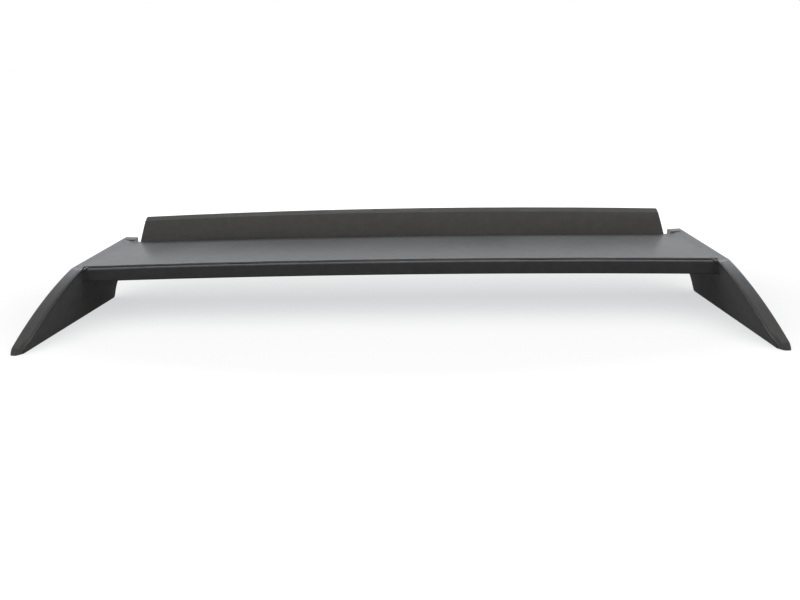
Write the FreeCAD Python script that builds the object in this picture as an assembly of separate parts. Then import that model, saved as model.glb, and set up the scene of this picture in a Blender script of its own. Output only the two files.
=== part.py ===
"""Rear spoiler for a car's boot lid: a hollow wing on two leaning legs, with a screwed-on rear flap.

Millimetres. X runs across the car, Y to the rear and Z up. The legs stand on the plane Z = 0, and the
origin is midway between the two rear fixings.
"""
import FreeCAD
import Part
import math
import os

# Overall form
HALF_WIDTH = 650.0            # outer tip of a leg from the middle plane
TOE_DEG = 5.2                 # legs turn inwards to the rear, seen from above
LEAN_DEG = 19.0               # legs lean inwards going up, seen from the front
CROWN = 3.7                   # the wing's middle stands this much higher than its ends
BOW = 7.5                     # and lies this much further to the rear
BEND_HALF_SPAN = 570.0        # half span over which crown and bow are measured

# Wing section, at the ends of the wing; Y is measured from the tips of the legs
LEADING_EDGE = 166.0
LEADING_HEIGHT = 109.5
CHORD = 164.0
TRAILING_HEIGHT = 113.2
CAMBER = 1.4
FRONT_DEPTH = 31.0            # from the top of the leading edge to the underside
REAR_DEPTH = 17.0             # height of the rear face that carries the flap
FRONT_RAKE = 2.5              # the front face leans back by this much at its foot
SKIN = 4.0                    # upper skin, which shows as the rim
RIM_RADIUS = 2.4
LEDGE = 3.0                   # the lower skin stands this far in front of the rim
LEDGE_RADIUS = 3.4
FRONT_FOOT_RADIUS = 3.0
WALL = 3.5
SPAR = 15.0                   # solid rear bar that takes the flap's inserts

# Legs
BASE_LENGTH = 306.0
LEG_THICKNESS = 18.0          # along X
LEG_SLOPE = 0.18              # fall of a leg's edges from outside to inside
KINK_Y = 151.0                # where the front edge of a leg meets its top edge
KINK_HEIGHT = 110.6
KINK_RADIUS = 20.0
FRONT_BULGE = 11.0            # rise of the curved front edge over its chord
NOSE_HEIGHT = 14.0
NOSE_LENGTH = 3.5
EAR_OVERHANG = 16.5           # a leg's rear end behind the wing's rear face
EAR_HEIGHT = 121.5
EAR_WIDTH = 26.0
EAR_SLOPE = 0.05              # fall of an ear's top from outside to inside
EAR_DEPTH = 26.0
EAR_FLARE = 0.1               # spread of an ear's inner end going down
HEEL_LENGTH = 12.0
HEEL_RISE = 5.0
KNEE_HEIGHT = 36.0            # where the rear edge of a leg turns back towards the ear
KNEE_LEAD = 2.0               # the rear edge leans forwards by this much up to there
KNEE_RADIUS = 40.0
NECK_LEAD = 3.0               # the rear edge passes this far behind the wing, under the wing
LEG_EDGE_RADIUS = 3.0
BAND_WIDTH = 20.5             # rounded band along a leg's front edge, along X
BAND_DEPTH = 8.0
BAND_EDGE_RADIUS = 4.0
TIP_LENGTH = 22.0             # the inner side curves out to the tip over this length
TIP_WIDTH = 4.0
BLEND_WIDTH = 30.0            # hollow sweep from a leg's top down to the wing
CORNER_RADIUS = 8.0           # hollow corner between the wing's front and a leg
CORNER_FALL = 2.6             # the corner falls this much from the wing to the leg
UNDER_RADIUS = 8.0
BASE_WALL = 4.0
HOLLOW_START = 76.0           # hollow of a leg, from its tip
HOLLOW_MARGIN = 10.0          # solid left along a leg's front and rear edges

# Rear flap
FLAP_HALF_FOOT = 539.5
FLAP_HALF_TOP = 527.5
FLAP_HEIGHT = 58.0            # along the blade, at the middle
FLAP_LEAN_DEG = 67.0
FLAP_CURL = 2.2               # the blade bows forwards by this much
FLAP_THICKNESS = 6.0
FLAP_FOOT_CLEARANCE = 1.0     # from the wing's underside
FLAP_END_DROP = 5.0           # the flap is this much lower at its ends
FLAP_BAND = 10.0              # bevelled band along the top edge
FLAP_BAND_DEG = 20.0          # how much further the band leans back
FLAP_CORNER_RADIUS = 5.0

# Fixings
SCREW_COUNT = 4
SCREW_INSET = 60.0            # end screws from the ends of the flap's foot
SCREW_RADIUS = 2.5
SCREW_LENGTH = 14.0
SCREW_HEAD_RADIUS = 4.75
SCREW_HEAD_HEIGHT = 2.8
SCREW_FACE_RADIUS = 2.8       # flat top of a screw's head
SCREW_SOCKET = 3.0            # across the flats
SCREW_SOCKET_DEPTH = 1.6
SCREW_HOLE_CLEARANCE = 0.3
FLAP_INSERT_RADIUS = 3.5
FLAP_INSERT_LENGTH = 10.0
LEG_INSERT_RADIUS = 4.0
LEG_INSERT_LENGTH = 9.0
LEG_INSERT_BORE = 2.5         # tapping radius of the 6 mm thread
LEG_INSERT_INSET = 9.8        # from a leg's outer side, at its base
FRONT_FIXING = 120.0          # from the tip of a leg
REAR_FIXING = 255.0
PAD_LENGTH = 30.0
PAD_HEIGHT = 16.0

SINK = 2.0                    # overlap of pieces that are fused
SEAT = 0.4                    # small overlap of pieces that lie on one another
TOUCH = 0.05                  # nearness that counts as touching
REACH = 100.0                 # how far cutting shapes reach past the part
ROUND_SHARE = 0.55            # handle length that makes a quarter ellipse of a spline
EDGE_TURNS = (0, 40, 80)      # degrees at which a rounded edge is carried round a corner
FOOT_TURNS = (70, 0)

V = FreeCAD.Vector
tip_y = -REAR_FIXING
tan_toe = math.tan(math.radians(TOE_DEG))
tan_lean = math.tan(math.radians(LEAN_DEG))
leading_y = tip_y + LEADING_EDGE
trailing_y = leading_y + CHORD
wing_end = HALF_WIDTH - tan_toe * LEADING_EDGE - tan_lean * LEADING_HEIGHT - LEG_THICKNESS
end_share = 1 - (wing_end / BEND_HALF_SPAN) ** 2
end_front = leading_y + BOW * end_share      # the wing's front and rear edges where it meets a leg
end_rear = trailing_y + BOW * end_share
end_rise = CROWN * end_share
ear_y = end_rear + EAR_OVERHANG
heel_y = tip_y + BASE_LENGTH
kink_y = tip_y + KINK_Y
flap_lean = math.radians(FLAP_LEAN_DEG)
flap_crown = CROWN + FLAP_END_DROP * math.sin(flap_lean)
flap_bow = BOW + FLAP_END_DROP * math.cos(flap_lean)
band_lean = math.radians(FLAP_BAND_DEG)
crease = FLAP_HEIGHT - FLAP_BAND
band_reach = crease + FLAP_BAND * math.cos(band_lean)
parting = LEG_THICKNESS - WALL      # inward place of the seam between the skins on a leg
heel = (heel_y, HEEL_RISE)          # corners of a leg's rear edge in a side view, from its foot up
knee = (heel_y - KNEE_LEAD, KNEE_HEIGHT)
neck = (end_rear + NECK_LEAD, TRAILING_HEIGHT + end_rise - REAR_DEPTH - UNDER_RADIUS - SINK)
ear_tip = (ear_y, EAR_HEIGHT)


def leg_point(y, z, inward=0.0):
    """Point on the right leg, inward being the distance along X from its outer side."""
    x = HALF_WIDTH - tan_toe * (y - tip_y) - tan_lean * z - inward
    return V(x, y, z - LEG_SLOPE * inward)


def line(a, b):
    return Part.LineSegment(a, b).toShape()


def arc(a, b, c):
    return Part.Arc(a, b, c).toShape()


def closed_face(edges):
    return Part.Face(Part.Wire(edges))


def outline_face(pieces, place):
    """Face inside an outline of lines (two points) and arcs (three points), put into space by place."""
    edges = []
    for piece in pieces:
        points = [place(*point) for point in piece]
        edges.append(line(*points) if len(points) == 2 else arc(*points))
    return closed_face(edges)


def polygon_face(points):
    return Part.Face(Part.makePolygon(points + points[:1]))


def both_sides(shape):
    return [shape, shape.mirror(V(0, 0, 0), V(1, 0, 0))]


class Bend:
    """Large circle along which a section is bent, so that its ends come forward and down."""

    def __init__(self, crown, bow, top):
        sag = math.hypot(crown, bow)
        self.radius = (BEND_HALF_SPAN ** 2 + sag ** 2) / (2 * sag)
        self.axis = V(0, crown / sag, -bow / sag)
        self.centre = top - V(0, bow / sag, crown / sag) * self.radius

    def angle(self, x):
        return math.degrees(math.asin(x / self.radius))

    def solid(self, section, half_length):
        """Solid lofted along the bend through a section of the middle plane and its copies at both ends."""
        wires = [self.place(section.OuterWire, x) for x in (-half_length, 0.0, half_length)]
        return Part.makeLoft(wires, True, False)

    def place(self, shape, x):
        """Copy of a shape of the middle plane, carried along the bend."""
        moved = shape.copy()
        moved.rotate(self.centre, self.axis, self.angle(x))
        return moved


front_top = V(0, leading_y + BOW, LEADING_HEIGHT + CROWN)
rear_top = V(0, trailing_y + BOW, TRAILING_HEIGHT + CROWN)
wing_bend = Bend(CROWN, BOW, front_top)


def down(point, depth):
    return point - V(0, 0, depth)


def camber_point(depth):
    """Middle point of the wing's top line, moved down by a depth."""
    return (front_top + rear_top) * 0.5 + V(0, 0, CAMBER - depth)


def slab_section():
    """Section of the upper skin along the wing, with the rounded rim at its front."""
    side = down(front_top, RIM_RADIUS)
    edge = front_top + V(0, RIM_RADIUS, 0)
    short = RIM_RADIUS * (1 - math.sqrt(0.5))
    foot = down(front_top, SKIN)
    rear_foot = down(rear_top, SKIN)
    return closed_face([
        line(foot, side),
        arc(side, front_top + V(0, short, -short), edge),
        arc(edge, camber_point(0), rear_top),
        line(rear_top, rear_foot),
        arc(rear_foot, camber_point(SKIN), foot),
    ])


def over_section():
    """Section of all that lies above the seam, used as a cutter."""
    foot = down(front_top, SKIN)
    rear_foot = down(rear_top, SKIN)
    fall = (rear_foot - foot) * (REACH / CHORD)
    return closed_face([
        line(foot - fall, foot),
        arc(foot, camber_point(SKIN), rear_foot),
        line(rear_foot, rear_foot + fall),
        line(rear_foot + fall, rear_foot + fall + V(0, 0, REACH)),
        line(rear_foot + fall + V(0, 0, REACH), foot - fall + V(0, 0, REACH)),
        line(foot - fall + V(0, 0, REACH), foot - fall),
    ])


def tray_section():
    """Section of the lower skin along the wing, still solid, with its rounded ledge and foot."""
    ledge_end = V(0, front_top.y - LEDGE + LEDGE_RADIUS, front_top.z - SKIN)
    ledge_low = ledge_end + V(0, -LEDGE_RADIUS, -LEDGE_RADIUS)
    long = LEDGE_RADIUS * math.sqrt(0.5)
    ledge_middle = ledge_end + V(0, -long, long - LEDGE_RADIUS)
    seam_front = down(front_top, SKIN)
    seam_rear = down(rear_top, SKIN)
    front_foot = V(0, front_top.y - LEDGE + FRONT_RAKE, front_top.z - FRONT_DEPTH)
    rear_foot = down(rear_top, REAR_DEPTH)
    return closed_face([
        line(ledge_low, front_foot),
        line(front_foot, rear_foot),
        line(rear_foot, seam_rear),
        arc(seam_rear, camber_point(SKIN), seam_front),
        line(seam_front, ledge_end),
        arc(ledge_end, ledge_middle, ledge_low),
    ])


def tray_hollow_section():
    """Section of the hollow inside the lower skin, open at the seam."""
    front = front_top.y - LEDGE + FRONT_RAKE + WALL + LEDGE_RADIUS
    rear = rear_top.y - SPAR
    floor_front = front_top.z - FRONT_DEPTH + WALL
    floor_rise = FRONT_DEPTH - REAR_DEPTH + rear_top.z - front_top.z
    floor_rear = floor_front + floor_rise * (rear - front) / CHORD
    roof = max(front_top.z, rear_top.z) + CAMBER
    return polygon_face([
        V(0, front, floor_front),
        V(0, rear, floor_rear),
        V(0, rear, roof),
        V(0, front, roof),
    ])


def outside(inward):
    """Everything further out than a plane of the right leg, used as a cutter."""
    front = tip_y - REACH
    rear = ear_y + REACH
    corners = [(front, -REACH), (rear, -REACH), (rear, 2 * REACH), (front, 2 * REACH)]
    face = polygon_face([leg_point(y, z, inward) for y, z in corners])
    return face.extrude(V(4 * REACH, 0, 0))


def top_height(y):
    """Height of a leg's top edge on its outer side."""
    return KINK_HEIGHT + (EAR_HEIGHT - KINK_HEIGHT) * (y - kink_y) / (ear_y - kink_y)


def rear_edge(z):
    """Place along Y of a leg's rear edge on its outer side."""
    for (low_y, low_z), (high_y, high_z) in ((heel, knee), (knee, neck), (neck, ear_tip)):
        if z <= high_z:
            break
    return low_y + (high_y - low_y) * (z - low_z) / (high_z - low_z)


def rounded_corner(before, corner, after, radius):
    """Start, middle and end of the arc that rounds a corner of an outline in a side view."""
    middle = V(0, *corner)
    back = (V(0, *before) - middle).normalize()
    on = (V(0, *after) - middle).normalize()
    half = back.getAngle(on) / 2
    inner = middle + (back + on).normalize() * (radius / math.sin(half) - radius)
    reach = radius / math.tan(half)
    return [(p.y, p.z) for p in (middle + back * reach, inner, middle + on * reach)]


def leg_outline(inward, setback):
    """Side outline of a leg; setback moves its front edge back."""
    below = -LEG_SLOPE * LEG_THICKNESS - SINK
    kink = (kink_y + setback, top_height(kink_y + setback))
    nose = (tip_y + setback + NOSE_LENGTH / 2, NOSE_HEIGHT)
    toe = (tip_y + setback + NOSE_LENGTH, below)
    front = (tip_y + setback, (NOSE_HEIGHT + below) / 2)
    run = kink[0] - nose[0]
    rise = kink[1] - nose[1]
    chord = math.hypot(run, rise)
    middle = ((kink[0] + nose[0]) / 2 - FRONT_BULGE * rise / chord,
              (kink[1] + nose[1]) / 2 + FRONT_BULGE * run / chord)
    bend = rounded_corner(heel, knee, neck, KNEE_RADIUS)
    pieces = [
        [toe, (heel_y - HEEL_LENGTH, below)],
        [(heel_y - HEEL_LENGTH, below), (heel_y - HEEL_LENGTH, 0.0)],
        [(heel_y - HEEL_LENGTH, 0.0), heel],
        [heel, bend[0]],
        bend,
        [bend[2], neck],
        [neck, ear_tip],
        [ear_tip, kink],
        [kink, middle, nose],
        [nose, front, toe],
    ]
    return outline_face(pieces, lambda y, z: leg_point(y, z, inward))


def inward_of(point):
    """Distance of a point from the right leg's outer side, along the leg's own slope."""
    gap = HALF_WIDTH - tan_toe * (point.y - tip_y) - tan_lean * point.z - point.x
    return gap / (1 + tan_lean * LEG_SLOPE)


def edges_at(shape, inward, keep):
    """Edges of a shape that lie at one inward distance and pass a test on their middle point."""
    found = []
    for edge in shape.Edges:
        middle = edge.valueAt((edge.FirstParameter + edge.LastParameter) / 2)
        points = [vertex.Point for vertex in edge.Vertexes] + [middle]
        if all(abs(inward_of(p) - inward) < TOUCH for p in points) and keep(middle):
            found.append(edge)
    return found


def nose_cutter():
    """Cutter that curves the inner side of a leg out to its tip."""
    root = leg_point(tip_y + TIP_LENGTH, LEG_SLOPE * BAND_WIDTH, BAND_WIDTH)
    tip = leg_point(tip_y - SINK, 0.0) - V(TIP_WIDTH, 0, 0)
    along = V(tan_toe, -1, 0) * (ROUND_SHARE * TIP_LENGTH)
    across = V(4 * LEG_THICKNESS, 0, 0)
    curve = Part.BezierCurve()
    curve.setPoles([root, root + along, tip - V(ROUND_SHARE * (BAND_WIDTH - TIP_WIDTH), 0, 0), tip])
    face = closed_face([
        curve.toShape(),
        line(tip, tip - across),
        line(tip - across, root - across),
        line(root - across, root),
    ])
    lean = V(-tan_lean, 0, 1)
    face.translate(lean * -NOSE_HEIGHT)
    return face.extrude(lean * REACH)


def leg_block(start, end, setback):
    """Solid of the right leg between two inward distances, cut flat at its base."""
    depth = end - start
    block = leg_outline(start, setback).extrude(V(-depth, 0, -LEG_SLOPE * depth))
    kink = leg_point(kink_y + setback, top_height(kink_y + setback), (start + end) / 2)
    corner = min(block.Edges, key=lambda edge: (edge.CenterOfMass - kink).Length)
    return block.makeFillet(KINK_RADIUS, [corner])


def at_base(shape):
    """Shape with all that lies under the base plane cut away, and its tip shaped."""
    ground = Part.makeBox(4 * HALF_WIDTH, 8 * REACH, REACH, V(-2 * HALF_WIDTH, tip_y - 2 * REACH, -REACH))
    return shape.cut([ground, nose_cutter()])


def outer_leg():
    """Outer half of the right leg, still solid, with its outer edges rounded."""
    block = leg_block(0.0, parting, 0.0)
    rounded = edges_at(block, 0.0, lambda p: p.z > SINK and p.y < rear_edge(p.z) - SINK)
    return at_base(block.makeFillet(LEG_EDGE_RADIUS, rounded))


def front_band():
    """Rounded band that stands in from the outer half along the right leg's front edge."""
    block = leg_block(parting - SINK, BAND_WIDTH, 0.0)
    front = edges_at(block, BAND_WIDTH, lambda p: p.z > NOSE_HEIGHT and p.y < kink_y + SINK)
    rounded = block.makeFillet(BAND_EDGE_RADIUS, front)
    return at_base(rounded.cut(leg_block(parting - 2 * SINK, BAND_WIDTH + SINK, BAND_DEPTH)))


def leg_hollow():
    """Hollow of the outer half of the right leg, with solid pads left round the fixings."""
    roof = LEADING_HEIGHT - FRONT_DEPTH
    front_share = (KINK_HEIGHT - roof) / KINK_HEIGHT
    base = BASE_WALL + LEG_SLOPE * LEG_THICKNESS
    half_way = (base + roof) / 2
    corners = [
        (tip_y + HOLLOW_START, base),
        (heel_y - HEEL_LENGTH, base),
        (rear_edge(half_way) - HOLLOW_MARGIN, half_way),
        (rear_edge(roof) - HOLLOW_MARGIN, roof),
        (kink_y - KINK_Y * front_share + HOLLOW_MARGIN, roof),
    ]
    depth = parting - WALL + SINK
    hollow = polygon_face([leg_point(y, z, WALL) for y, z in corners])
    hollow = hollow.extrude(V(-depth, 0, -LEG_SLOPE * depth))
    pads = []
    for fixing in (FRONT_FIXING, REAR_FIXING):
        corner = V(HALF_WIDTH - REACH, tip_y + fixing - PAD_LENGTH / 2, 0)
        pads.append(Part.makeBox(REACH, PAD_LENGTH, PAD_HEIGHT, corner))
    return hollow.cut(pads)


def ear():
    """Thick rear end of the right leg, behind the wing's rear face, with a flared inner end."""
    low = V(0, end_rear - SEAT, EAR_HEIGHT - EAR_DEPTH)
    depth = EAR_WIDTH + REACH
    block = leg_outline(LEG_EDGE_RADIUS, 0.0).extrude(V(-depth, 0, -EAR_SLOPE * depth))
    end = leg_point(ear_y, EAR_HEIGHT) - V(EAR_WIDTH, 0, 0)
    along = V(-tan_toe, 1, 0) * REACH
    upward = V(EAR_FLARE, 0, 1) * REACH
    corners = [-along - upward, along - upward, along + upward, upward - along]
    past_end = polygon_face([end + corner for corner in corners]).extrude(V(-2 * REACH, 0, 0))
    return block.common(Part.makeBox(HALF_WIDTH, REACH, REACH, low)).cut(past_end)


def wing_height(x, y):
    """Height of the wing's top near its ends."""
    rise = (TRAILING_HEIGHT - LEADING_HEIGHT) * (y - leading_y) / CHORD
    return LEADING_HEIGHT + rise + CROWN * (1 - (x / BEND_HALF_SPAN) ** 2)


def sweep_wire(y):
    """Section of the sweep from the top of the right leg down to the wing, running on from both slopes."""
    outer = leg_point(y, top_height(y), LEG_THICKNESS - SINK / 2)
    inner_x = outer.x - BLEND_WIDTH
    inner = V(inner_x, y, wing_height(inner_x, y) - SEAT)
    third = BLEND_WIDTH / 3
    curve = Part.BezierCurve()
    curve.setPoles([outer, outer - V(third, 0, LEG_SLOPE * third), inner + V(third, 0, 0), inner])
    low = min(wing_height(outer.x, y), outer.z) - SKIN / 2
    return Part.Wire([
        curve.toShape(),
        line(inner, V(inner.x, y, low)),
        line(V(inner.x, y, low), V(outer.x, y, low)),
        line(V(outer.x, y, low), outer),
    ])


def sweep():
    return Part.makeLoft([sweep_wire(end_front + 2 * RIM_RADIUS), sweep_wire(end_rear)], True, True)


def front_face_y(z):
    """Place along Y of the lower skin's front face at the ends of the wing, straight down to its foot."""
    ledge_low = LEADING_HEIGHT + end_rise - SKIN - LEDGE_RADIUS
    height = FRONT_DEPTH - SKIN - LEDGE_RADIUS
    return end_front - LEDGE + FRONT_RAKE * max(ledge_low - z, 0.0) / height


def corner_wire(z, back, side, spread, fall):
    """Plan section of a hollow corner between the wing's front and the inner side of the right leg.

    back and side move its two sides away from the front face and the inner panel, spread widens it about the
    same middle, and fall lowers it towards the leg.
    """
    y = front_face_y(z) + back - CORNER_RADIUS
    inward = LEG_THICKNESS - side
    x = HALF_WIDTH - tan_toe * (y - tip_y) - tan_lean * z
    x -= inward * (1 + tan_lean * LEG_SLOPE) + CORNER_RADIUS
    reach = CORNER_RADIUS + spread
    short = reach * math.sqrt(0.5)
    across = reach + inward - parting + SINK
    deep = reach + SINK

    def at(right, rear):
        return V(x + right, y + rear, z - fall * right / reach)

    return Part.Wire([
        arc(at(0, reach), at(short, short), at(reach, 0)),
        line(at(reach, 0), at(across, 0)),
        line(at(across, 0), at(across, deep)),
        line(at(across, deep), at(0, deep)),
        line(at(0, deep), at(0, reach)),
    ])


def rounded_levels(start, radius, turns):
    """Heights along a rounded edge, up (positive radius) or down from a start, and how far it draws back."""
    angles = [math.radians(turn) for turn in turns]
    return [(start + radius * math.sin(a), abs(radius) * (1 - math.cos(a))) for a in angles]


def front_corner():
    """Hollow corner of the lower skin, with the ledge and the foot carried round it."""
    foot = LEADING_HEIGHT + end_rise - FRONT_DEPTH + FRONT_FOOT_RADIUS
    ledge_low = LEADING_HEIGHT + end_rise - SKIN - LEDGE_RADIUS
    levels = rounded_levels(foot, -FRONT_FOOT_RADIUS, FOOT_TURNS)
    levels += rounded_levels(ledge_low, LEDGE_RADIUS, EDGE_TURNS)
    wires = [corner_wire(z, 0.0, 0.0, spread, 0.0) for z, spread in levels]
    return Part.makeLoft(wires, True, True)


def rim_corner():
    """Hollow corner of the upper skin, with the rim carried round it to the front band."""
    top = LEADING_HEIGHT + end_rise
    side = LEG_THICKNESS - BAND_WIDTH
    levels = [(top - SKIN, 0.0)] + rounded_levels(top - RIM_RADIUS, RIM_RADIUS, EDGE_TURNS)
    wires = [corner_wire(z, LEDGE, side, spread, CORNER_FALL) for z, spread in levels]
    return Part.makeLoft(wires, True, True)


def leg_insert_place(fixing):
    z = LEG_SLOPE * LEG_INSERT_INSET
    return leg_point(tip_y + fixing, z, LEG_INSERT_INSET)


def upper_skin():
    """Upper skin, first as a full solid and then with the legs hollowed and drilled."""
    slab = wing_bend.solid(slab_section(), HALF_WIDTH)
    slab = slab.cut(both_sides(outside(LEG_EDGE_RADIUS + SEAT)))
    pieces = []
    for piece in (outer_leg(), front_band(), ear(), sweep(), rim_corner()):
        pieces += both_sides(piece)
    full = slab.fuse(pieces).removeSplitter()
    holes = both_sides(leg_hollow())
    for fixing in (FRONT_FIXING, REAR_FIXING):
        hole = Part.makeCylinder(LEG_INSERT_RADIUS, LEG_INSERT_LENGTH, leg_insert_place(fixing))
        holes += both_sides(hole)
    return full, full.cut(holes)


def wing_edges(shape, test):
    """Edges of a shape whose two ends both pass a test, made with X taken as positive."""
    found = []
    for edge in shape.Edges:
        ends = [V(abs(v.Point.x), v.Point.y, v.Point.z) for v in edge.Vertexes]
        if len(ends) == 2 and all(test(p) for p in ends):
            found.append(edge)
    return found


def rounded_tray(full):
    """Lower skin with its underside swept into the legs and its front foot rounded."""
    foot = LEADING_HEIGHT + end_rise - FRONT_DEPTH

    def joins_leg(p):
        on_leg = abs(inward_of(p) - LEG_THICKNESS) < TOUCH
        at_front = abs(p.z - foot) < SINK and abs(p.y - front_face_y(foot)) < SINK
        at_rear = abs(p.y - end_rear) < SINK and p.z < TRAILING_HEIGHT + end_rise - REAR_DEPTH + SINK
        return on_leg and (at_front or at_rear)

    def on_foot(p):
        return abs(p.z - foot) < SINK and p.y < end_front

    under = [edge for edge in wing_edges(full, joins_leg) if edge.Length < 2 * CHORD]
    swept = full.makeFillet(UNDER_RADIUS, under)
    front = [edge for edge in wing_edges(swept, on_foot) if edge.Length > HALF_WIDTH]
    return swept.makeFillet(FRONT_FOOT_RADIUS, front)


def flap_insert_line():
    """Place of a flap screw's axis on the wing's rear face, in the middle plane."""
    return down(rear_top, (SKIN + REAR_DEPTH) / 2)


def screw_places():
    last = FLAP_HALF_FOOT - SCREW_INSET
    spacing = 2 * last / (SCREW_COUNT - 1)
    return [spacing * i - last for i in range(SCREW_COUNT)]


def along_flap(shape):
    """Copies of a fastener, one at each screw's place along the bend."""
    return [wing_bend.place(shape, x) for x in screw_places()]


def lower_skin(upper_full):
    """Lower skin: the wing's tray and the inner panels of the legs, hollowed and drilled."""
    tray = wing_bend.solid(tray_section(), HALF_WIDTH)
    tray = tray.cut(both_sides(outside(parting)))
    over = wing_bend.solid(over_section(), HALF_WIDTH)
    panel = at_base(leg_block(parting, LEG_THICKNESS, BAND_DEPTH - SINK)).cut(over)
    full = rounded_tray(tray.fuse(both_sides(panel)).removeSplitter())
    full = full.fuse(both_sides(front_corner()))
    hollow = wing_bend.solid(tray_hollow_section(), HALF_WIDTH)
    hollow = hollow.cut(both_sides(outside(LEG_THICKNESS + WALL)))
    hole = Part.makeCylinder(FLAP_INSERT_RADIUS, FLAP_INSERT_LENGTH, flap_insert_line(), V(0, -1, 0))
    return full.cut([hollow, upper_full] + along_flap(hole))


def blade_point(along, out):
    """Point of the flap's middle section: along its blade from the wing's rear edge, and out of its face."""
    along_way = V(0, math.cos(flap_lean), math.sin(flap_lean))
    out_way = V(0, -math.sin(flap_lean), math.cos(flap_lean))
    return rear_top + along_way * along + out_way * out


def flap_section():
    """Section of the flap: a foot behind the wing's rear face, and a blade that leans back above it."""
    foot = down(rear_top, REAR_DEPTH - FLAP_FOOT_CLEARANCE)
    rear_foot = foot + V(0, FLAP_THICKNESS, 0)
    fall = FLAP_THICKNESS * (1 - math.sin(flap_lean)) / math.cos(flap_lean)
    rear_bend = rear_top + V(0, FLAP_THICKNESS, -fall)
    top = FLAP_HEIGHT + FLAP_BAND
    half = FLAP_HEIGHT / 2
    return closed_face([
        line(foot, rear_top),
        arc(rear_top, blade_point(half, FLAP_CURL), blade_point(top, 0)),
        line(blade_point(top, 0), blade_point(top, -FLAP_THICKNESS)),
        arc(blade_point(top, -FLAP_THICKNESS), blade_point(half, FLAP_CURL - FLAP_THICKNESS), rear_bend),
        line(rear_bend, rear_foot),
        line(rear_foot, foot),
    ])


flap_top = blade_point(band_reach, FLAP_CURL / 2 - FLAP_BAND * math.sin(band_lean))


def flap_cap():
    """Cutter that bevels the flap's top edge and lowers it towards its ends."""
    start = blade_point(crease, FLAP_CURL / 2)
    front = blade_point(crease, REACH / 2)
    rear = blade_point(band_reach, -REACH / 2)
    lift = blade_point(REACH, 0) - blade_point(0, 0)
    section = polygon_face([front, start, flap_top, rear, rear + lift, front + lift])
    return Bend(flap_crown, flap_bow, flap_top).solid(section, HALF_WIDTH)


def flap_ends():
    """Prism that cuts the flap's raked ends and rounds their top corners."""
    low = TRAILING_HEIGHT - 2 * REAR_DEPTH
    foot = (FLAP_HALF_FOOT, TRAILING_HEIGHT)
    top_z = flap_top.z - flap_crown * (FLAP_HALF_TOP / BEND_HALF_SPAN) ** 2 + SEAT
    corner = rounded_corner(foot, (FLAP_HALF_TOP, top_z), (0.0, top_z), FLAP_CORNER_RADIUS)
    over = (corner[2][0], top_z + REACH)
    right = [[(FLAP_HALF_FOOT, low), foot], [foot, corner[0]], corner, [corner[2], over]]
    left = [[(-x, z) for x, z in reversed(piece)] for piece in reversed(right)]
    across_top = [[over, (-over[0], over[1])]]
    across_foot = [[(-FLAP_HALF_FOOT, low), (FLAP_HALF_FOOT, low)]]
    face = outline_face(right + across_top + left + across_foot, lambda x, z: V(x, trailing_y - REACH, z))
    return face.extrude(V(0, 3 * REACH, 0))


def rear_flap():
    """Flap, drilled for its screws before its top and its ends are cut."""
    blade = wing_bend.solid(flap_section(), HALF_WIDTH)
    hole_start = flap_insert_line() - V(0, SINK, 0)
    hole_radius = SCREW_RADIUS + SCREW_HOLE_CLEARANCE
    hole = Part.makeCylinder(hole_radius, FLAP_THICKNESS + 2 * SINK, hole_start, V(0, 1, 0))
    return blade.cut(along_flap(hole)).cut(flap_cap()).common(flap_ends())


def flap_insert():
    sleeve = Part.makeCylinder(FLAP_INSERT_RADIUS, FLAP_INSERT_LENGTH, flap_insert_line(), V(0, -1, 0))
    bore = Part.makeCylinder(SCREW_RADIUS, FLAP_INSERT_LENGTH, flap_insert_line(), V(0, -1, 0))
    return sleeve.cut(bore)


def flap_screw():
    """Screw with a coned head and a six-sided socket, put in from behind."""
    under = flap_insert_line() + V(0, FLAP_THICKNESS, 0)
    top = under + V(0, SCREW_HEAD_HEIGHT, 0)
    shank = Part.makeCylinder(SCREW_RADIUS, SCREW_LENGTH, under, V(0, -1, 0))
    head = Part.makeCone(SCREW_HEAD_RADIUS, SCREW_FACE_RADIUS, SCREW_HEAD_HEIGHT, under, V(0, 1, 0))
    reach = SCREW_SOCKET / math.sqrt(3)
    turns = [math.radians(60 * i) for i in range(6)]
    corners = [top + V(reach * math.cos(turn), 0, reach * math.sin(turn)) for turn in turns]
    socket = polygon_face(corners).extrude(V(0, -SCREW_SOCKET_DEPTH, 0))
    return shank.fuse(head).cut(socket)


def leg_inserts():
    sleeves = []
    for fixing in (FRONT_FIXING, REAR_FIXING):
        place = leg_insert_place(fixing)
        sleeve = Part.makeCylinder(LEG_INSERT_RADIUS, LEG_INSERT_LENGTH, place)
        sleeve = sleeve.cut(Part.makeCylinder(LEG_INSERT_BORE, LEG_INSERT_LENGTH, place))
        sleeves += both_sides(sleeve)
    return sleeves


full_upper, upper = upper_skin()
nodes = {
    "upper_skin": upper,
    "lower_skin": lower_skin(full_upper),
    "rear_flap": rear_flap(),
    "flap_inserts": Part.makeCompound(along_flap(flap_insert())),
    "flap_screws": Part.makeCompound(along_flap(flap_screw())),
    "leg_inserts": Part.makeCompound(leg_inserts()),
}
os.makedirs("parts", exist_ok=True)
for name, shape in nodes.items():
    print(name, shape.isValid(), len(shape.Solids), round(shape.Volume), len(shape.Faces))
    shape.exportStep("parts/" + name + ".step")
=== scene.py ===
"""Studio scene of a car's rear spoiler: a hollow wing on two legs with a screwed-on flap."""
import math
import bpy
from bpy.props import FloatProperty, FloatVectorProperty, PointerProperty
from mathutils import Matrix, Vector


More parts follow.
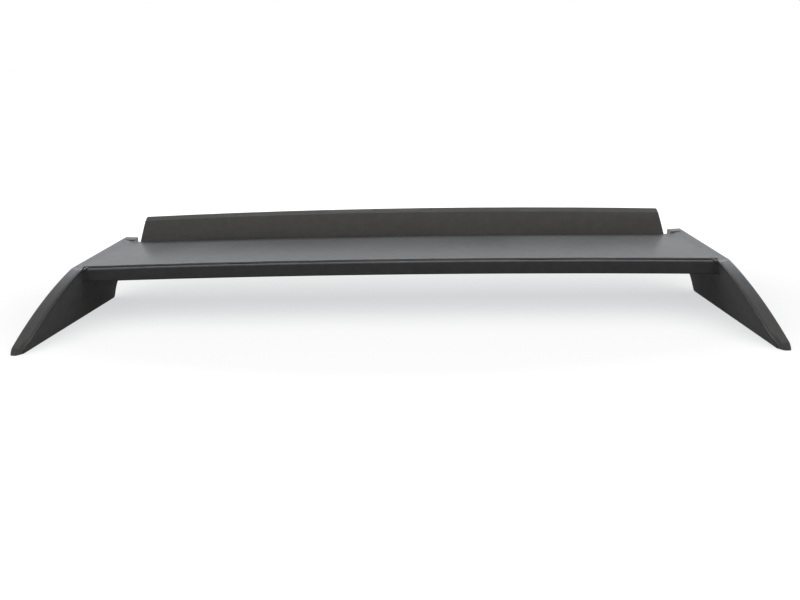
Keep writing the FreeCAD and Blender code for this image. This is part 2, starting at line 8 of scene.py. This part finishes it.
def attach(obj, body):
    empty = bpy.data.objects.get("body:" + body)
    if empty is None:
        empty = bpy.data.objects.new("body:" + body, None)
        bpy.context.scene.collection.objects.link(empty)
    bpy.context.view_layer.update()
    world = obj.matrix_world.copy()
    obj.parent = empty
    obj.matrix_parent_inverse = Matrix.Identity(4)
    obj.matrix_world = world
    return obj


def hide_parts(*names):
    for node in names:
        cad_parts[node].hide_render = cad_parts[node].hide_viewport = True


bl_info = {
    "name": "Rear Spoiler",
    "version": (1, 0, 0),
    "blender": (4, 5, 0),
    "location": "View3D > Sidebar > Spoiler",
    "description": "Dresses the packed rear spoiler and lights it for a studio picture",
    "category": "Object",
}

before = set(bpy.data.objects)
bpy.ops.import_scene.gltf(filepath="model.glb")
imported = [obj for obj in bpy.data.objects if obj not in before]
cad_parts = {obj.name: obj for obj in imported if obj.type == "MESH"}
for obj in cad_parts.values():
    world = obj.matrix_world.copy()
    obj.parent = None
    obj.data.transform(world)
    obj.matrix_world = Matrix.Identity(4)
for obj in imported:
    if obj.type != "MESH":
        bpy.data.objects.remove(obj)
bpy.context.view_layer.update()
COVER_CORNERS = (   # right-hand strip between a leg's top and the sweep: inner and outer, front then rear
    (0.5704, -0.0200, 0.11201),
    (0.5754, -0.0200, 0.11291),
    (0.5600, 0.0744, 0.11728),
    (0.5650, 0.0744, 0.11818),
)
FLOOR_WIDTH = 60.0
GLOW_SHAPE = (0.45, 1.0, 1.0)   # the glow's edge reaches further along the wing than across it
LAMPS_FACE = (0.0, 0.0, 0.1)
BACK_PLACE = (0.0, 1.49, 2.23)
FRONT_PLACE = (0.0, -1.67, 2.09)
OVERHEAD_PLACE = (0.0, -0.1, 2.1)
FLOOR_LAMP_PLACE = (0.0, -0.6, 1.1)
LONG_LAMP = (5.0, 0.92)         # widths and depths of the lamps
OVERHEAD_LAMP = (3.6, 2.0)
WIDE_LAMP = (4.6, 4.4)
COOL = (0.92, 0.98, 1.09)
WARM = (1.05, 1.0, 0.92)
WHITE = (1.0, 1.0, 1.0)


class ShellSettings(bpy.types.PropertyGroup):
    """Mesh of the plastic mouldings."""

    merge: FloatProperty(
        name="Merge Distance", description="Points nearer than this become one",
        default=0.00002, unit="LENGTH", precision=6)
    smooth: FloatProperty(
        name="Smooth Angle", description="Edges of the skins sharper than this stay crisp",
        default=math.radians(38), subtype="ANGLE")
    flap_smooth: FloatProperty(
        name="Flap Smooth Angle", description="Edges of the flap sharper than this stay crisp",
        default=math.radians(14), subtype="ANGLE")


class FinishSettings(bpy.types.PropertyGroup):
    """Satin black plastic, black steel and brass."""

    plastic: FloatVectorProperty(
        name="Plastic", description="Colour of the moulded plastic",
        default=(0.074, 0.0725, 0.0705), subtype="COLOR", size=3)
    plastic_worn: FloatVectorProperty(
        name="Plastic Haze", description="Colour of the plastic where it is slightly hazed",
        default=(0.088, 0.0865, 0.084), subtype="COLOR", size=3)
    satin_low: FloatProperty(
        name="Satin Low", description="Roughness where the plastic is smoothest",
        default=0.36, subtype="FACTOR", min=0.0, max=1.0)
    satin_high: FloatProperty(
        name="Satin High", description="Roughness where the plastic is dullest",
        default=0.44, subtype="FACTOR", min=0.0, max=1.0)
    sheen: FloatProperty(
        name="Sheen", description="Level of the plastic's own reflection",
        default=0.4, subtype="FACTOR", min=0.0, max=1.0)
    flap_sheen: FloatProperty(
        name="Flap Sheen", description="Level of the flap's own reflection",
        default=0.26, subtype="FACTOR", min=0.0, max=1.0)
    dull_sheen: FloatProperty(
        name="Dull Sheen", description="Level of the lower skin's reflection, which is duller",
        default=0.06, subtype="FACTOR", min=0.0, max=1.0)
    duller: FloatProperty(
        name="Duller", description="Roughness added on the lower skin",
        default=0.2, subtype="FACTOR", min=0.0, max=0.5)
    coat: FloatProperty(
        name="Skin Gloss", description="Weight of the thin glossy skin that moulding leaves",
        default=0.12, subtype="FACTOR", min=0.0, max=1.0)
    coat_roughness: FloatProperty(
        name="Skin Roughness", description="Roughness of that skin",
        default=0.2, subtype="FACTOR", min=0.0, max=1.0)
    grain: FloatProperty(
        name="Grain Depth", description="Depth of the moulded grain",
        default=0.00003, unit="LENGTH", precision=6)
    steel: FloatVectorProperty(
        name="Black Steel", description="Colour of the blackened screws",
        default=(0.05, 0.05, 0.053), subtype="COLOR", size=3)
    brass: FloatVectorProperty(
        name="Brass", description="Colour of the threaded inserts",
        default=(0.72, 0.49, 0.20), subtype="COLOR", size=3)


class StageSettings(bpy.types.PropertyGroup):
    """Floor, lamps, surroundings and camera."""

    floor: FloatVectorProperty(
        name="Floor", description="Colour of the floor where it lights the spoiler",
        default=(0.14, 0.14, 0.143), subtype="COLOR", size=3)
    floor_seen: FloatVectorProperty(
        name="Floor Seen", description="Colour of the floor as the camera and reflections see it",
        default=(0.355, 0.35, 0.335), subtype="COLOR", size=3)
    floor_glow: FloatProperty(
        name="Floor Glow", description="What lifts the floor to white in the picture, near the spoiler",
        default=0.62, min=0.0, max=1.0)
    glow_colour: FloatVectorProperty(
        name="Glow Colour", description="Colour of that glow, slightly cool as the shadow is",
        default=(0.965, 0.98, 1.0), subtype="COLOR", size=3)
    glow_near: FloatProperty(
        name="Glow Near", description="Distance from the middle where the floor begins to turn white",
        default=0.32, unit="LENGTH")
    glow_far: FloatProperty(
        name="Glow Far", description="Where the floor is fully white",
        default=0.75, unit="LENGTH")
    ambient: FloatProperty(
        name="Ambient", description="Strength of the light from all round",
        default=0.17, min=0.0, max=2.0)
    back_lamp: FloatProperty(
        name="Back Lamp", description="Power of the wide soft lamp behind and above the wing",
        default=84.0, subtype="POWER", min=0.0)
    front_lamp: FloatProperty(
        name="Front Lamp", description="Power of the wide soft lamp above the camera",
        default=10.5, subtype="POWER", min=0.0)
    over_lamp: FloatProperty(
        name="Over Lamp", description="Power of the lamp overhead that draws the ledge",
        default=105.0, subtype="POWER", min=0.0)
    band_lamp: FloatProperty(
        name="Band Lamp", description="Power of the lamp overhead that draws the band along the flap",
        default=14.0, subtype="POWER", min=0.0)
    floor_lamp: FloatProperty(
        name="Floor Lamp", description="Power of the wide soft lamp that lights the floor alone",
        default=76.0, subtype="POWER", min=0.0)
    camera_place: FloatVectorProperty(
        name="Camera Place", description="Place of the camera",
        default=(0.0724, -1.2896, 0.455), subtype="TRANSLATION", size=3)
    camera_turn: FloatProperty(
        name="Camera Turn", description="Turn of the camera about the upright",
        default=math.radians(2.95), subtype="ANGLE")
    camera_dip: FloatProperty(
        name="Camera Dip", description="How far the camera looks down",
        default=math.radians(19.23), subtype="ANGLE")
    camera_roll: FloatProperty(
        name="Camera Roll", description="Turn of the camera about its own line of sight",
        default=math.radians(-1.58), subtype="ANGLE")
    lens: FloatProperty(
        name="Lens", description="Focal length for a 36 mm wide picture, in millimetres",
        default=30.65, min=1.0)


def only(obj):
    """Make one object the only selected one, and the active one."""
    bpy.ops.object.select_all(action="DESELECT")
    obj.select_set(True)
    bpy.context.view_layer.objects.active = obj


def sweep_cover(side):
    """Strip of skin that runs on from the top of a leg into the wing's sweep."""
    bpy.ops.object.select_all(action="DESELECT")
    bpy.ops.mesh.primitive_plane_add(size=1.0, location=(0.0, 0.0, 0.0))
    strip = bpy.context.object
    for vertex, (x, y, z) in zip(strip.data.vertices, COVER_CORNERS):
        vertex.co = (side * x, y, z)
    if side < 0:
        only(strip)
        bpy.ops.object.mode_set(mode="EDIT")
        bpy.ops.mesh.select_all(action="SELECT")
        bpy.ops.mesh.flip_normals()
        bpy.ops.object.mode_set(mode="OBJECT")
    return strip


def moulding(node, name, smooth, strips=()):
    """Piece that stands for a moulded node: its merged mesh, smooth but for its real edges."""
    settings = bpy.context.scene.spoiler_shell
    piece = bpy.data.objects.new(name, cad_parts[node].data.copy())
    bpy.context.scene.collection.objects.link(piece)
    only(piece)
    for strip in strips:
        strip.select_set(True)
    if strips:
        bpy.ops.object.join()
    bpy.ops.object.mode_set(mode="EDIT")
    bpy.ops.mesh.select_all(action="SELECT")
    bpy.ops.mesh.remove_doubles(threshold=settings.merge)
    bpy.ops.object.mode_set(mode="OBJECT")
    bpy.ops.object.shade_smooth_by_angle(angle=smooth)
    even = piece.modifiers.new("even_normals", "WEIGHTED_NORMAL")
    even.mode = "FACE_AREA"
    even.weight = 50
    even.keep_sharp = True
    bpy.ops.object.modifier_apply(modifier=even.name)
    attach(piece, "root")
    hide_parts(node)
    return piece


def new_material(name):
    """Material with an empty node tree but for its shader and output."""
    material = bpy.data.materials.new(name)
    material.use_nodes = True
    nodes = material.node_tree.nodes
    nodes.clear()
    output = nodes.new("ShaderNodeOutputMaterial")
    shader = nodes.new("ShaderNodeBsdfPrincipled")
    material.node_tree.links.new(shader.outputs["BSDF"], output.inputs["Surface"])
    return material, nodes, material.node_tree.links, shader


def noise(nodes, links, where, scale, detail, roughness=0.5):
    """Noise on the object's own coordinates."""
    node = nodes.new("ShaderNodeTexNoise")
    node.inputs["Scale"].default_value = scale
    node.inputs["Detail"].default_value = detail
    node.inputs["Roughness"].default_value = roughness
    links.new(where, node.inputs["Vector"])
    return node


def spread(nodes, links, value, low, high, start=0.3, end=0.7):
    """Spread a value that runs from a start to an end over a range."""
    node = nodes.new("ShaderNodeMapRange")
    node.inputs["From Min"].default_value = start
    node.inputs["From Max"].default_value = end
    node.inputs["To Min"].default_value = low
    node.inputs["To Max"].default_value = high
    links.new(value, node.inputs["Value"])
    return node.outputs["Result"]


def blend(nodes, links, factor, first, second):
    """Blend of two colours by a factor."""
    node = nodes.new("ShaderNodeMix")
    node.data_type = "RGBA"
    node.inputs["A"].default_value = (*first, 1.0)
    node.inputs["B"].default_value = (*second, 1.0)
    links.new(factor, node.inputs["Factor"])
    return node.outputs["Result"]


def satin_plastic(name, sheen, coat, duller=0.0):
    """Black plastic with a fine moulded grain and a slightly uneven sheen."""
    settings = bpy.context.scene.spoiler_finish
    material, nodes, links, shader = new_material(name)
    where = nodes.new("ShaderNodeTexCoord").outputs["Object"]
    cloud = noise(nodes, links, where, 7.0, 4.0)
    haze = noise(nodes, links, where, 60.0, 3.0)
    grain = noise(nodes, links, where, 1400.0, 2.0, 0.6)
    colour = blend(nodes, links, spread(nodes, links, haze.outputs["Fac"], 0.0, 1.0),
                   settings.plastic, settings.plastic_worn)
    links.new(colour, shader.inputs["Base Color"])
    rough = spread(nodes, links, cloud.outputs["Fac"],
                   settings.satin_low + duller, settings.satin_high + duller)
    links.new(rough, shader.inputs["Roughness"])
    bump = nodes.new("ShaderNodeBump")
    bump.inputs["Strength"].default_value = 0.5
    bump.inputs["Distance"].default_value = settings.grain
    links.new(grain.outputs["Fac"], bump.inputs["Height"])
    links.new(bump.outputs["Normal"], shader.inputs["Normal"])
    shader.inputs["IOR"].default_value = 1.5
    shader.inputs["Specular IOR Level"].default_value = sheen
    shader.inputs["Coat Weight"].default_value = coat
    shader.inputs["Coat Roughness"].default_value = settings.coat_roughness
    return material


def black_steel():
    """Blackened steel of the screws, with a fine uneven coat."""
    settings = bpy.context.scene.spoiler_finish
    material, nodes, links, shader = new_material("black_steel")
    where = nodes.new("ShaderNodeTexCoord").outputs["Object"]
    coat = noise(nodes, links, where, 500.0, 3.0)
    colour = blend(nodes, links, spread(nodes, links, coat.outputs["Fac"], 0.0, 1.0),
                   settings.steel, [0.6 * c for c in settings.steel])
    links.new(colour, shader.inputs["Base Color"])
    links.new(spread(nodes, links, coat.outputs["Fac"], 0.36, 0.52), shader.inputs["Roughness"])
    shader.inputs["Metallic"].default_value = 0.9
    bump = nodes.new("ShaderNodeBump")
    bump.inputs["Strength"].default_value = 0.3
    bump.inputs["Distance"].default_value = 0.00004
    links.new(coat.outputs["Fac"], bump.inputs["Height"])
    links.new(bump.outputs["Normal"], shader.inputs["Normal"])
    return material


def brass():
    """Turned brass of the inserts, slightly dulled."""
    settings = bpy.context.scene.spoiler_finish
    material, nodes, links, shader = new_material("brass")
    where = nodes.new("ShaderNodeTexCoord").outputs["Object"]
    tarnish = noise(nodes, links, where, 350.0, 4.0)
    colour = blend(nodes, links, spread(nodes, links, tarnish.outputs["Fac"], 0.0, 1.0),
                   settings.brass, [0.7 * c for c in settings.brass])
    links.new(colour, shader.inputs["Base Color"])
    links.new(spread(nodes, links, tarnish.outputs["Fac"], 0.22, 0.4), shader.inputs["Roughness"])
    shader.inputs["Metallic"].default_value = 1.0
    rings = nodes.new("ShaderNodeTexWave")
    rings.bands_direction = "Y"
    rings.inputs["Scale"].default_value = 400.0
    links.new(where, rings.inputs["Vector"])
    bump = nodes.new("ShaderNodeBump")
    bump.inputs["Strength"].default_value = 0.2
    bump.inputs["Distance"].default_value = 0.00005
    links.new(rings.outputs["Fac"], bump.inputs["Height"])
    links.new(bump.outputs["Normal"], shader.inputs["Normal"])
    return material


def finish_with(obj, material):
    """Give an object one material."""
    obj.data.materials.clear()
    obj.data.materials.append(material)
    for face in obj.data.polygons:
        face.material_index = 0


class SPOILER_OT_upper_skin(bpy.types.Operator):
    """Make the upper skin: the wing's top, the outer halves of the legs and their ears"""

    bl_idname = "spoiler.upper_skin"
    bl_label = "Upper Skin"

    def execute(self, context):
        strips = [sweep_cover(side) for side in (1, -1)]
        piece = moulding("upper_skin", "upper_moulding", context.scene.spoiler_shell.smooth, strips)
        finish = context.scene.spoiler_finish
        finish_with(piece, satin_plastic("satin_plastic", finish.sheen, finish.coat))
        return {"FINISHED"}


class SPOILER_OT_lower_skin(bpy.types.Operator):
    """Make the lower skin: the wing's front face and underside, and the inner panels of the legs"""

    bl_idname = "spoiler.lower_skin"
    bl_label = "Lower Skin"

    def execute(self, context):
        finish = context.scene.spoiler_finish
        piece = moulding("lower_skin", "lower_moulding", context.scene.spoiler_shell.smooth)
        finish_with(piece, satin_plastic("dull_plastic", finish.dull_sheen, 0.0, finish.duller))
        return {"FINISHED"}


class SPOILER_OT_rear_flap(bpy.types.Operator):
    """Make the flap that stands on the wing's rear edge"""

    bl_idname = "spoiler.rear_flap"
    bl_label = "Rear Flap"

    def execute(self, context):
        piece = moulding("rear_flap", "flap_moulding", context.scene.spoiler_shell.flap_smooth)
        finish = context.scene.spoiler_finish
        finish_with(piece, satin_plastic("flap_plastic", finish.flap_sheen, finish.coat))
        return {"FINISHED"}


class SPOILER_OT_fixings(bpy.types.Operator):
    """Finish the flap's screws and the threaded inserts"""

    bl_idname = "spoiler.fixings"
    bl_label = "Fixings"

    def execute(self, context):
        steel = black_steel()
        yellow = brass()
        finish_with(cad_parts["flap_screws"], steel)
        for node in ("flap_inserts", "leg_inserts"):
            finish_with(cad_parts[node], yellow)
        return {"FINISHED"}


def sight_rays(nodes, links):
    """Factor that is 1 for the rays that show the surroundings: camera, glossy and transmission."""
    path = nodes.new("ShaderNodeLightPath")
    seen = path.outputs["Is Camera Ray"]
    for kind in ("Is Glossy Ray", "Is Transmission Ray"):
        either = nodes.new("ShaderNodeMath")
        either.operation = "MAXIMUM"
        links.new(seen, either.inputs[0])
        links.new(path.outputs[kind], either.inputs[1])
        seen = either.outputs["Value"]
    return seen


def add_floor(settings):
    """Wide floor that keeps the shadow; sight and reflections see the glow that lifts it to white."""
    bpy.ops.object.select_all(action="DESELECT")
    bpy.ops.mesh.primitive_plane_add(size=FLOOR_WIDTH, location=(0.0, 0.0, 0.0))
    floor = bpy.context.object
    floor.name = "floor"
    material = bpy.data.materials.new("pale_floor")
    material.use_nodes = True
    nodes = material.node_tree.nodes
    links = material.node_tree.links
    nodes.clear()
    plain = nodes.new("ShaderNodeBsdfDiffuse")
    plain.inputs["Color"].default_value = (*settings.floor, 1.0)
    where = nodes.new("ShaderNodeMapping")
    where.inputs["Scale"].default_value = GLOW_SHAPE
    links.new(nodes.new("ShaderNodeTexCoord").outputs["Object"], where.inputs["Vector"])
    away = nodes.new("ShaderNodeVectorMath")
    away.operation = "LENGTH"
    links.new(where.outputs["Vector"], away.inputs[0])
    strength = spread(nodes, links, away.outputs["Value"], settings.floor_glow, 1.0,
                      settings.glow_near, settings.glow_far)
    glow = nodes.new("ShaderNodeEmission")
    far = spread(nodes, links, away.outputs["Value"], 0.0, 1.0, settings.glow_near, settings.glow_far)
    links.new(blend(nodes, links, far, settings.glow_colour, WHITE), glow.inputs["Color"])
    links.new(strength, glow.inputs["Strength"])
    shaded = nodes.new("ShaderNodeBsdfDiffuse")
    shaded.inputs["Color"].default_value = (*settings.floor_seen, 1.0)
    lifted = nodes.new("ShaderNodeAddShader")
    links.new(shaded.outputs[0], lifted.inputs[0])
    links.new(glow.outputs[0], lifted.inputs[1])
    mix = nodes.new("ShaderNodeMixShader")
    links.new(sight_rays(nodes, links), mix.inputs["Fac"])
    links.new(plain.outputs[0], mix.inputs[1])
    links.new(lifted.outputs[0], mix.inputs[2])
    output = nodes.new("ShaderNodeOutputMaterial")
    links.new(mix.outputs[0], output.inputs["Surface"])
    floor.data.materials.append(material)
    return floor


def add_world(settings):
    """Surroundings that sight and reflections see as white, and that light the spoiler only a little."""
    world = bpy.data.worlds.new("studio")
    bpy.context.scene.world = world
    world.use_nodes = True
    nodes = world.node_tree.nodes
    links = world.node_tree.links
    nodes.clear()
    light = nodes.new("ShaderNodeBackground")
    light.inputs["Color"].default_value = (*WHITE, 1.0)
    light.inputs["Strength"].default_value = settings.ambient
    sight = nodes.new("ShaderNodeBackground")
    sight.inputs["Color"].default_value = (*WHITE, 1.0)
    sight.inputs["Strength"].default_value = 1.0
    mix = nodes.new("ShaderNodeMixShader")
    links.new(sight_rays(nodes, links), mix.inputs["Fac"])
    links.new(light.outputs[0], mix.inputs[1])
    links.new(sight.outputs[0], mix.inputs[2])
    output = nodes.new("ShaderNodeOutputWorld")
    links.new(mix.outputs[0], output.inputs["Surface"])


def add_lamp(name, place, size, power, colour):
    """Soft rectangular lamp at a place, turned towards the spoiler."""
    data = bpy.data.lights.new(name, "AREA")
    data.shape = "RECTANGLE"
    data.size, data.size_y = size
    data.energy = power
    data.color = colour
    lamp = bpy.data.objects.new(name, data)
    bpy.context.scene.collection.objects.link(lamp)
    lamp.location = place
    lamp.rotation_mode = "QUATERNION"
    lamp.rotation_quaternion = (Vector(LAMPS_FACE) - Vector(place)).to_track_quat("-Z", "Y")
    return lamp


def light_only(lamps, name, objects):
    """Let some lamps light these objects alone."""
    lit = bpy.data.collections.new(name)
    for obj in objects:
        lit.objects.link(obj)
    for lamp in lamps:
        lamp.light_linking.receiver_collection = lit


def add_camera(settings):
    """Camera at the picture's viewing angle."""
    data = bpy.data.cameras.new("camera")
    data.sensor_fit = "HORIZONTAL"
    data.sensor_width = 36.0
    data.lens = settings.lens
    data.clip_end = 200.0
    camera = bpy.data.objects.new("camera", data)
    bpy.context.scene.collection.objects.link(camera)
    turn = Matrix.Rotation(settings.camera_turn, 4, "Z")
    dip = Matrix.Rotation(math.pi / 2 - settings.camera_dip, 4, "X")
    roll = Matrix.Rotation(settings.camera_roll, 4, "Z")
    camera.matrix_world = Matrix.Translation(settings.camera_place) @ turn @ dip @ roll
    bpy.context.scene.camera = camera


class SPOILER_OT_stage(bpy.types.Operator):
    """Add the floor, the lamps, the surroundings and the camera"""

    bl_idname = "spoiler.stage"
    bl_label = "Stage"

    def execute(self, context):
        settings = context.scene.spoiler_stage
        context.scene.view_settings.view_transform = "Standard"
        pieces = [obj for obj in context.scene.objects if obj.type == "MESH"]
        floor = add_floor(settings)
        add_world(settings)
        back = add_lamp("back_lamp", BACK_PLACE, LONG_LAMP, settings.back_lamp, COOL)
        front = add_lamp("front_lamp", FRONT_PLACE, LONG_LAMP, settings.front_lamp, WARM)
        light_only([back, front], "lit_spoiler", pieces)
        over = add_lamp("over_lamp", OVERHEAD_PLACE, OVERHEAD_LAMP, settings.over_lamp, COOL)
        light_only([over], "lit_ledge", [context.scene.objects["lower_moulding"]])
        band = add_lamp("band_lamp", OVERHEAD_PLACE, OVERHEAD_LAMP, settings.band_lamp, WHITE)
        light_only([band], "lit_band", [context.scene.objects["flap_moulding"]])
        wide = add_lamp("floor_lamp", FLOOR_LAMP_PLACE, WIDE_LAMP, settings.floor_lamp, WHITE)
        light_only([wide], "lit_floor", [floor])
        add_camera(settings)
        return {"FINISHED"}


class SPOILER_PT_panel(bpy.types.Panel):
    """List of the steps that make the spoiler"""

    bl_label = "Rear Spoiler"
    bl_idname = "SPOILER_PT_panel"
    bl_space_type = "VIEW_3D"
    bl_region_type = "UI"
    bl_category = "Spoiler"

    def draw(self, context):
        for step in STEPS:
            self.layout.operator(step.bl_idname)


STEPS = (
    SPOILER_OT_upper_skin,
    SPOILER_OT_lower_skin,
    SPOILER_OT_rear_flap,
    SPOILER_OT_fixings,
    SPOILER_OT_stage,
)
GROUPS = (
    ("spoiler_shell", ShellSettings),
    ("spoiler_finish", FinishSettings),
    ("spoiler_stage", StageSettings),
)


def register():
    for name, group in GROUPS:
        bpy.utils.register_class(group)
        setattr(bpy.types.Scene, name, PointerProperty(type=group))
    for step in STEPS:
        bpy.utils.register_class(step)
    bpy.utils.register_class(SPOILER_PT_panel)


def unregister():
    bpy.utils.unregister_class(SPOILER_PT_panel)
    for step in reversed(STEPS):
        bpy.utils.unregister_class(step)
    for name, group in reversed(GROUPS):
        delattr(bpy.types.Scene, name)
        bpy.utils.unregister_class(group)


def main():
    register()
    bpy.ops.spoiler.upper_skin()
    bpy.ops.spoiler.lower_skin()
    bpy.ops.spoiler.rear_flap()
    bpy.ops.spoiler.fixings()
    bpy.ops.spoiler.stage()


if __name__ == "__main__":
    main()
